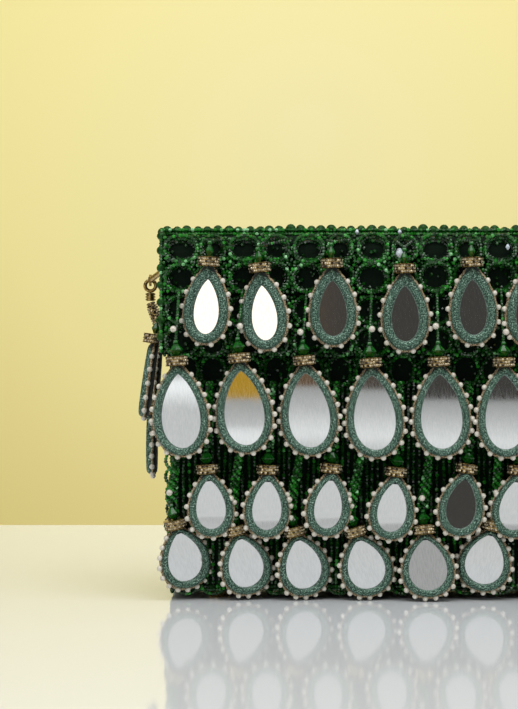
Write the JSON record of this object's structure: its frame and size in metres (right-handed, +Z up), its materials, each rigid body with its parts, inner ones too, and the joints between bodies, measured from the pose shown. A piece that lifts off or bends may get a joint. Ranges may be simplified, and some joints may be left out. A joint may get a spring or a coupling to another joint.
{
  "type": "beaded evening bag",
  "caption": "Boxy evening bag in green bead netting: flap on a back hinge, rows of hanging pear-shaped mirror drops, and a rigid gilt arch handle that swings behind.",
  "frame": {"origin": "centre of the object's footprint, on the surface it stands on", "axes": "+X along the bag's width to the right seen from the front, -Y towards the front, +Z up"},
  "size_m": [0.2094, 0.0794, 0.1292],
  "materials": {
    "glass_beads": "glossy green glass seed beads",
    "board": "dark cloth over stiff board",
    "lining_satin": "satin",
    "gilt_metal": "polished",
    "gilt_pave": "set with small clear stones",
    "magnet_steel": "plated",
    "mirror_drop": "mirror glass in a thread-wrapped rim"
  },
  "bodies": {
    "root": {"front_panel": "board", "back_panel": "board", "base_panel": "board", "left_gusset": "board", "right_gusset": "board", "lining": "lining_satin", "inner_pocket": "lining_satin", "front_bead_net": "glass_beads", "back_bead_net": "glass_beads", "side_bead_nets": "glass_beads", "base_bead_fringe": "glass_beads", "base_feet": "gilt_metal", "magnet_socket": "magnet_steel", "handle_tabs": "gilt_metal"},
    "flap": {"flap_board": "board", "flap_lining": "lining_satin", "flap_bead_net": "glass_beads", "flap_magnet": "magnet_steel", "flap_hinge_piping": "glass_beads"},
    "handle": {"handle_arch": "gilt_pave", "handle_rings": "gilt_metal", "handle_collars": "gilt_metal"},
    "row1_drop_1": {"row1_drop_1": "mirror_drop"},
    "row1_drop_2": {"row1_drop_2": "mirror_drop"},
    "row1_drop_3": {"row1_drop_3": "mirror_drop"},
    "row1_drop_4": {"row1_drop_4": "mirror_drop"},
    "row1_drop_5": {"row1_drop_5": "mirror_drop"},
    "row1_drop_6": {"row1_drop_6": "mirror_drop"},
    "row1_drop_7": {"row1_drop_7": "mirror_drop"},
    "row1_drop_8": {"row1_drop_8": "mirror_drop"},
    "row2_drop_1": {"row2_drop_1": "mirror_drop"},
    "row2_drop_2": {"row2_drop_2": "mirror_drop"},
    "row2_drop_3": {"row2_drop_3": "mirror_drop"},
    "row2_drop_4": {"row2_drop_4": "mirror_drop"},
    "row2_drop_5": {"row2_drop_5": "mirror_drop"},
    "row2_drop_6": {"row2_drop_6": "mirror_drop"},
    "row2_drop_7": {"row2_drop_7": "mirror_drop"},
    "row2_drop_8": {"row2_drop_8": "mirror_drop"},
    "row2_drop_9": {"row2_drop_9": "mirror_drop"},
    "row3_drop_1": {"row3_drop_1": "mirror_drop"},
    "row3_drop_2": {"row3_drop_2": "mirror_drop"},
    "row3_drop_3": {"row3_drop_3": "mirror_drop"},
    "row3_drop_4": {"row3_drop_4": "mirror_drop"},
    "row3_drop_5": {"row3_drop_5": "mirror_drop"},
    "row3_drop_6": {"row3_drop_6": "mirror_drop"},
    "row3_drop_7": {"row3_drop_7": "mirror_drop"},
    "row3_drop_8": {"row3_drop_8": "mirror_drop"},
    "row4_drop_1": {"row4_drop_1": "mirror_drop"},
    "row4_drop_2": {"row4_drop_2": "mirror_drop"},
    "row4_drop_3": {"row4_drop_3": "mirror_drop"},
    "row4_drop_4": {"row4_drop_4": "mirror_drop"},
    "row4_drop_5": {"row4_drop_5": "mirror_drop"},
    "row4_drop_6": {"row4_drop_6": "mirror_drop"},
    "row4_drop_7": {"row4_drop_7": "mirror_drop"},
    "row4_drop_8": {"row4_drop_8": "mirror_drop"},
    "row4_drop_9": {"row4_drop_9": "mirror_drop"},
    "left_side_upper_drops": {"left_side_upper_drops": "mirror_drop"},
    "left_side_lower_drop": {"left_side_lower_drop": "mirror_drop"},
    "right_side_upper_drops": {"right_side_upper_drops": "mirror_drop"},
    "right_side_lower_drop": {"right_side_lower_drop": "mirror_drop"}
  },
  "joints": [
    {"name": "flap_hinge", "type": "hinge", "parent": "root", "child": "flap", "pos_m": [0, 0.0249, 0.1253], "axis": [-1, 0, 0], "range_deg": [0, 90]},
    {"name": "handle_swing", "type": "hinge", "parent": "root", "child": "handle", "pos_m": [0, 0.0375, 0.113], "axis": [1, 0, 0], "range_deg": [0, 180]},
    {"name": "row1_drop_1_swing", "type": "hinge", "parent": "flap", "child": "row1_drop_1", "pos_m": [-0.077, -0.03565, 0.1223], "axis": [-1, 0, 0], "range_deg": [0, 60]},
    {"name": "row1_drop_2_swing", "type": "hinge", "parent": "flap", "child": "row1_drop_2", "pos_m": [-0.055, -0.03565, 0.1223], "axis": [-1, 0, 0], "range_deg": [0, 60]},
    {"name": "row1_drop_3_swing", "type": "hinge", "parent": "flap", "child": "row1_drop_3", "pos_m": [-0.033, -0.03565, 0.1223], "axis": [-1, 0, 0], "range_deg": [0, 60]},
    {"name": "row1_drop_4_swing", "type": "hinge", "parent": "flap", "child": "row1_drop_4", "pos_m": [-0.011, -0.03565, 0.1223], "axis": [-1, 0, 0], "range_deg": [0, 60]},
    {"name": "row1_drop_5_swing", "type": "hinge", "parent": "flap", "child": "row1_drop_5", "pos_m": [0.011, -0.03565, 0.1223], "axis": [-1, 0, 0], "range_deg": [0, 60]},
    {"name": "row1_drop_6_swing", "type": "hinge", "parent": "flap", "child": "row1_drop_6", "pos_m": [0.033, -0.03565, 0.1223], "axis": [-1, 0, 0], "range_deg": [0, 60]},
    {"name": "row1_drop_7_swing", "type": "hinge", "parent": "flap", "child": "row1_drop_7", "pos_m": [0.055, -0.03565, 0.1223], "axis": [-1, 0, 0], "range_deg": [0, 60]},
    {"name": "row1_drop_8_swing", "type": "hinge", "parent": "flap", "child": "row1_drop_8", "pos_m": [0.077, -0.03565, 0.1223], "axis": [-1, 0, 0], "range_deg": [0, 60]},
    {"name": "row2_drop_1_swing", "type": "hinge", "parent": "flap", "child": "row2_drop_1", "pos_m": [-0.088, -0.03565, 0.0895], "axis": [-1, 0, 0], "range_deg": [0, 50]},
    {"name": "row2_drop_2_swing", "type": "hinge", "parent": "flap", "child": "row2_drop_2", "pos_m": [-0.066, -0.03565, 0.0895], "axis": [-1, 0, 0], "range_deg": [0, 50]},
    {"name": "row2_drop_3_swing", "type": "hinge", "parent": "flap", "child": "row2_drop_3", "pos_m": [-0.044, -0.03565, 0.0895], "axis": [-1, 0, 0], "range_deg": [0, 50]},
    {"name": "row2_drop_4_swing", "type": "hinge", "parent": "flap", "child": "row2_drop_4", "pos_m": [-0.022, -0.03565, 0.0895], "axis": [-1, 0, 0], "range_deg": [0, 50]},
    {"name": "row2_drop_5_swing", "type": "hinge", "parent": "flap", "child": "row2_drop_5", "pos_m": [0, -0.03565, 0.0895], "axis": [-1, 0, 0], "range_deg": [0, 50]},
    {"name": "row2_drop_6_swing", "type": "hinge", "parent": "flap", "child": "row2_drop_6", "pos_m": [0.022, -0.03565, 0.0895], "axis": [-1, 0, 0], "range_deg": [0, 50]},
    {"name": "row2_drop_7_swing", "type": "hinge", "parent": "flap", "child": "row2_drop_7", "pos_m": [0.044, -0.03565, 0.0895], "axis": [-1, 0, 0], "range_deg": [0, 50]},
    {"name": "row2_drop_8_swing", "type": "hinge", "parent": "flap", "child": "row2_drop_8", "pos_m": [0.066, -0.03565, 0.0895], "axis": [-1, 0, 0], "range_deg": [0, 50]},
    {"name": "row2_drop_9_swing", "type": "hinge", "parent": "flap", "child": "row2_drop_9", "pos_m": [0.088, -0.03565, 0.0895], "axis": [-1, 0, 0], "range_deg": [0, 50]},
    {"name": "row3_drop_1_swing", "type": "hinge", "parent": "root", "child": "row3_drop_1", "pos_m": [-0.077, -0.03045, 0.0517], "axis": [-1, 0, 0], "range_deg": [0, 30]},
    {"name": "row3_drop_2_swing", "type": "hinge", "parent": "root", "child": "row3_drop_2", "pos_m": [-0.055, -0.03045, 0.0517], "axis": [-1, 0, 0], "range_deg": [0, 30]},
    {"name": "row3_drop_3_swing", "type": "hinge", "parent": "root", "child": "row3_drop_3", "pos_m": [-0.033, -0.03045, 0.0517], "axis": [-1, 0, 0], "range_deg": [0, 30]},
    {"name": "row3_drop_4_swing", "type": "hinge", "parent": "root", "child": "row3_drop_4", "pos_m": [-0.011, -0.03045, 0.0517], "axis": [-1, 0, 0], "range_deg": [0, 30]},
    {"name": "row3_drop_5_swing", "type": "hinge", "parent": "root", "child": "row3_drop_5", "pos_m": [0.011, -0.03045, 0.0517], "axis": [-1, 0, 0], "range_deg": [0, 30]},
    {"name": "row3_drop_6_swing", "type": "hinge", "parent": "root", "child": "row3_drop_6", "pos_m": [0.033, -0.03045, 0.0517], "axis": [-1, 0, 0], "range_deg": [0, 30]},
    {"name": "row3_drop_7_swing", "type": "hinge", "parent": "root", "child": "row3_drop_7", "pos_m": [0.055, -0.03045, 0.0517], "axis": [-1, 0, 0], "range_deg": [0, 30]},
    {"name": "row3_drop_8_swing", "type": "hinge", "parent": "root", "child": "row3_drop_8", "pos_m": [0.077, -0.03045, 0.0517], "axis": [-1, 0, 0], "range_deg": [0, 30]},
    {"name": "row4_drop_1_swing", "type": "hinge", "parent": "root", "child": "row4_drop_1", "pos_m": [-0.088, -0.02965, 0.0307], "axis": [-1, 0, 0], "range_deg": [0, 8]},
    {"name": "row4_drop_2_swing", "type": "hinge", "parent": "root", "child": "row4_drop_2", "pos_m": [-0.066, -0.02965, 0.0307], "axis": [-1, 0, 0], "range_deg": [0, 8]},
    {"name": "row4_drop_3_swing", "type": "hinge", "parent": "root", "child": "row4_drop_3", "pos_m": [-0.044, -0.02965, 0.0307], "axis": [-1, 0, 0], "range_deg": [0, 8]},
    {"name": "row4_drop_4_swing", "type": "hinge", "parent": "root", "child": "row4_drop_4", "pos_m": [-0.022, -0.02965, 0.0307], "axis": [-1, 0, 0], "range_deg": [0, 8]},
    {"name": "row4_drop_5_swing", "type": "hinge", "parent": "root", "child": "row4_drop_5", "pos_m": [0, -0.02965, 0.0307], "axis": [-1, 0, 0], "range_deg": [0, 8]},
    {"name": "row4_drop_6_swing", "type": "hinge", "parent": "root", "child": "row4_drop_6", "pos_m": [0.022, -0.02965, 0.0307], "axis": [-1, 0, 0], "range_deg": [0, 8]},
    {"name": "row4_drop_7_swing", "type": "hinge", "parent": "root", "child": "row4_drop_7", "pos_m": [0.044, -0.02965, 0.0307], "axis": [-1, 0, 0], "range_deg": [0, 8]},
    {"name": "row4_drop_8_swing", "type": "hinge", "parent": "root", "child": "row4_drop_8", "pos_m": [0.066, -0.02965, 0.0307], "axis": [-1, 0, 0], "range_deg": [0, 8]},
    {"name": "row4_drop_9_swing", "type": "hinge", "parent": "root", "child": "row4_drop_9", "pos_m": [0.088, -0.02965, 0.0307], "axis": [-1, 0, 0], "range_deg": [0, 8]},
    {"name": "left_side_upper_drops_swing", "type": "hinge", "parent": "root", "child": "left_side_upper_drops", "pos_m": [-0.09715, 0, 0.097], "axis": [0, 1, 0], "range_deg": [0, 60]},
    {"name": "left_side_lower_drop_swing", "type": "hinge", "parent": "root", "child": "left_side_lower_drop", "pos_m": [-0.09715, 0, 0.0717], "axis": [0, 1, 0], "range_deg": [0, 20]},
    {"name": "right_side_upper_drops_swing", "type": "hinge", "parent": "root", "child": "right_side_upper_drops", "pos_m": [0.09715, 0, 0.097], "axis": [0, -1, 0], "range_deg": [0, 60]},
    {"name": "right_side_lower_drop_swing", "type": "hinge", "parent": "root", "child": "right_side_lower_drop", "pos_m": [0.09715, 0, 0.0717], "axis": [0, -1, 0], "range_deg": [0, 20]}
  ]
}
